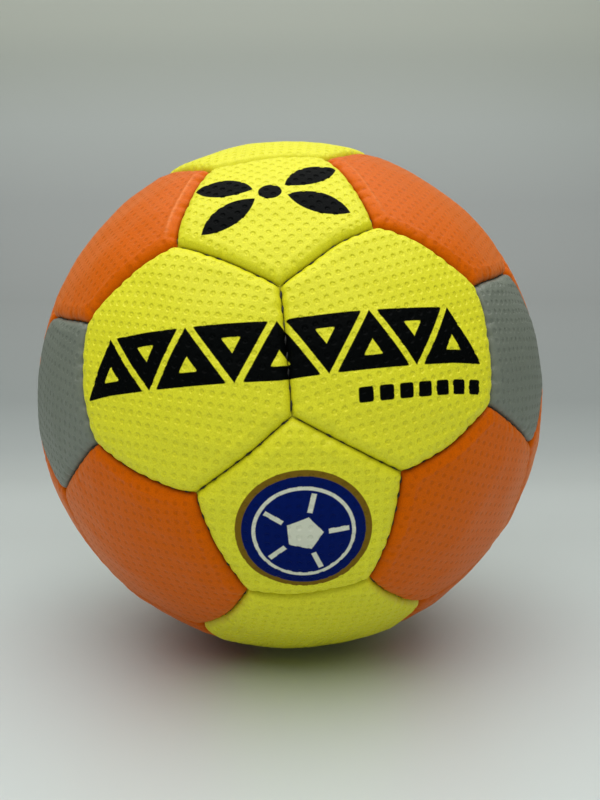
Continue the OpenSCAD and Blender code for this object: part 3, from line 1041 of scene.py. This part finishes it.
band_leather = leather("yellow_leather_triangle_band", LOOKS["yellow"], "band")
for name in ("hexagon_yellow_front_left", "hexagon_yellow_front_right"):
    at = points_of(covers[name])
    at /= np.linalg.norm(at, axis=1)[:, None]
    way = np.arctan2(at @ BAND_WAY, at @ BAND_MIDDLE)
    up = np.arcsin(at @ BAND_UP)
    sag = BAND_SAG * np.clip(1 - np.abs(way) / BAND_SAG_REACH, 0, 1)
    print_on(name, band_leather, np.column_stack([way * BALL_R * MM, up * BALL_R * MM + sag]))
for name, prints, origin, degrees in SINGLE_PRINTS:
    axes = next(p[3] for p in panels if p[0] == name)
    at = points_of(covers[name]) @ axes
    at = arc_places(at / np.linalg.norm(at, axis=1)[:, None]) - np.array(origin)
    c, s = math.cos(math.radians(degrees)), math.sin(math.radians(degrees))
    turned = np.column_stack([at[:, 0] * c + at[:, 1] * s, at[:, 1] * c - at[:, 0] * s])
    finish = leather(f"yellow_leather_{prints}", LOOKS["yellow"], prints)
    print_on(name, finish, turned * MM)
print("prints on:", [n for n, p in covers.items() if "print_place" in p.data.attributes])

# %% [markdown]
# ### Thread, rubber, foam and lining
# The thread is polyester soaked in black wax, so it has a dull gloss. The valve is moulded
# butyl rubber, dark and satin. Of the foam only a thin ring shows, round the valve. The lining and
# the bladder don't show in a pumped ball, but the pieces keep their own finishes for anyone who
# opens it.

# %% Thread
waxed, tree, shader = new_material("waxed_black_thread", Roughness=0.55, IOR=1.5)
place = add(tree, "TexCoord", (), "Object")
twist = add(tree, "TexNoise", {"Vector": place, "Scale": 1 / (0.4 * MM), "Detail": 2.0}, "Fac")
wax = {0: twist, 6: linear("#0B0B0C"), 7: linear("#26241F")}
tree.links.new(add(tree, "Mix", wax, 2, data_type="RGBA"), shader.inputs["Base Color"])
twist_bump = add(tree, "Bump", {"Height": twist, "Strength": 0.5, "Distance": 0.1 * MM})
tree.links.new(twist_bump, shader.inputs["Normal"])
thread.data.materials.append(waxed)
print("thread finish:", waxed.name)

# %% Foam, lining, bladder and valve


def plain_finish(name, colour, other, grain, bump, roughness):
    """A material that varies between two colours at a grain, with a bump, both in metres."""
    material, tree, shader = new_material(name, Roughness=roughness)
    place = add(tree, "TexCoord", (), "Object")
    noise = add(tree, "TexNoise", {"Vector": place, "Scale": 1 / grain, "Detail": 3.0}, "Fac")
    colours = {0: noise, 6: linear(colour), 7: linear(other)}
    tree.links.new(add(tree, "Mix", colours, 2, data_type="RGBA"), shader.inputs["Base Color"])
    raised = add(tree, "Bump", {"Height": noise, "Strength": 0.4, "Distance": bump})
    tree.links.new(raised, shader.inputs["Normal"])
    return material


INNER = {
    "foam": ("closed_cell_foam", "#F1EFE6", "#D9D4C4", 0.8 * MM, 0.2 * MM, 0.9),
    "lining": ("woven_cotton_lining", "#DAD7CC", "#BDB8AA", 0.7 * MM, 0.1 * MM, 0.85),
    "bladder": ("latex_bladder", "#3A2C26", "#54413A", 6 * MM, 0.05 * MM, 0.5),
    "valve": ("moulded_butyl_rubber", "#141414", "#222120", 0.5 * MM, 0.03 * MM, 0.55),
}
INNER = {kind: plain_finish(*values) for kind, values in INNER.items()}
CARRIED = {"foam": ("pentagon_foams", "hexagon_foams"), "bladder": ("bladder",),
           "lining": ("pentagon_linings", "hexagon_linings"),
           "valve": ("valve_patch", "valve_seat", "valve_plug")}
for kind, names in CARRIED.items():
    for name in names:
        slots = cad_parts[name].data.materials
        if not slots:
            slots.append(None)
        for i in range(len(slots)):
            slots[i] = INNER[kind]
print("inner finishes:", [m.name for m in INNER.values()])

# %% [markdown]
# ## Floor, backdrop and light
# The ball stands on a sheet of pale card that sweeps up into a wall, lit softly from above.
# The card catches a wide, soft shadow with a little of the ball's colour in it. Its tone changes
# with height: the grey of the wall, darkest near the height of the ball, is painted shade, and the
# floor in front of the ball is painted a little paler, as painted light.

# %% The sweep
FLOOR_Z = -BALL_R * MM
SWEEP_START, SWEEP_R, WALL_TOP = 0.22, 0.42, 1.6
SWEEP_FRONT, SWEEP_HALF = -2.2, 2.4
profile = [(SWEEP_FRONT, FLOOR_Z), (SWEEP_START, FLOOR_Z)]
profile += [(SWEEP_START + SWEEP_R * math.sin(a), FLOOR_Z + SWEEP_R * (1 - math.cos(a)))
            for a in np.linspace(0, math.pi / 2, 33)[1:]]
profile.append((SWEEP_START + SWEEP_R, WALL_TOP))
sweep_points = np.array([(x, y, z) for x in (-SWEEP_HALF, SWEEP_HALF) for y, z in profile]) / MM
half = len(profile)
sweep_faces = []
for i in range(half - 1):
    sweep_faces += [(i, half + i, half + i + 1), (i, half + i + 1, i + 1)]
sweep = make_object("sweep", sweep_points, sweep_faces)
print("sweep:", len(sweep_faces), "triangles")

# %% The card
CARD_TOP = 0.36
# Tones of the card by height: the grey of the wall is painted shade.
CARD = ((FLOOR_Z, "#B9BFBC"), (-0.087, "#ABB1AE"), (-0.073, "#9CA2A0"), (-0.040, "#878D8B"),
        (0.053, "#7A7F7C"), (0.16, "#868B88"), (0.25, "#9CA29D"), (CARD_TOP, "#A9AEA2"))
FRONT_FROM, FRONT_TO = -0.15, 0.05
FLOOR_BELOW = -0.0935
card, tree, shader = new_material("pale_card", Roughness=0.4, Specular_IOR_Level=0.6)
place = add(tree, "TexCoord", (), "Object")
parts = add(tree, "SeparateXYZ", (place,)).node.outputs
rise = parts[2]
forward = add(tree, "Math", (parts[1], -1.0), operation="MULTIPLY")
share = add(tree, "MapRange", (rise, FLOOR_Z, CARD_TOP, 0.0, 1.0))
ramp = add(tree, "ValToRGB", (share,))
elements = ramp.node.color_ramp.elements
for _ in CARD[2:]:
    elements.new(0.5)
for element, (z, colour) in zip(elements, CARD):
    element.position = (z - FLOOR_Z) / (CARD_TOP - FLOOR_Z)
    element.color = linear(colour)
# The floor in front of the ball is mixed towards a paler tone, as painted light.
front = add(tree, "MapRange", (forward, FRONT_FROM, FRONT_TO, 0.0, 1.0), clamp=True)
floor = add(tree, "Math", (rise, FLOOR_BELOW), operation="LESS_THAN")
share = add(tree, "Math", (front, floor), operation="MULTIPLY")
tones = {0: share, 6: ramp, 7: linear("#C9D1CF")}
tree.links.new(add(tree, "Mix", tones, 2, data_type="RGBA"), shader.inputs["Base Color"])
sweep.data.materials.append(card)
print("card:", card.name)

# %% The lights
world = bpy.data.worlds.new("room")
bpy.context.scene.world = world
world.use_nodes = True
background = world.node_tree.nodes["Background"].inputs
background["Color"].default_value = linear("#E9EDEC")
background["Strength"].default_value = 0.12


def soft_light(name, place, aim, size, power):
    """A rectangular light at a place, turned to a point, with its size in metres and its watts."""
    data = bpy.data.lights.new(name, "AREA")
    data.shape = "RECTANGLE"
    data.size, data.size_y = size
    data.energy = power
    light = bpy.data.objects.new(name, data)
    light.location = place
    light.rotation_euler = (Vector(aim) - Vector(place)).to_track_quat("-Z", "Y").to_euler()
    bpy.context.scene.collection.objects.link(light)


soft_light("overhead", (-0.05, -0.28, 1.25), (0, 0, 0), (2.1, 2.3), 35.5)
soft_light("room", (0.0, -1.9, 0.25), (0, 0, 0), (2.6, 0.7), 2.0)
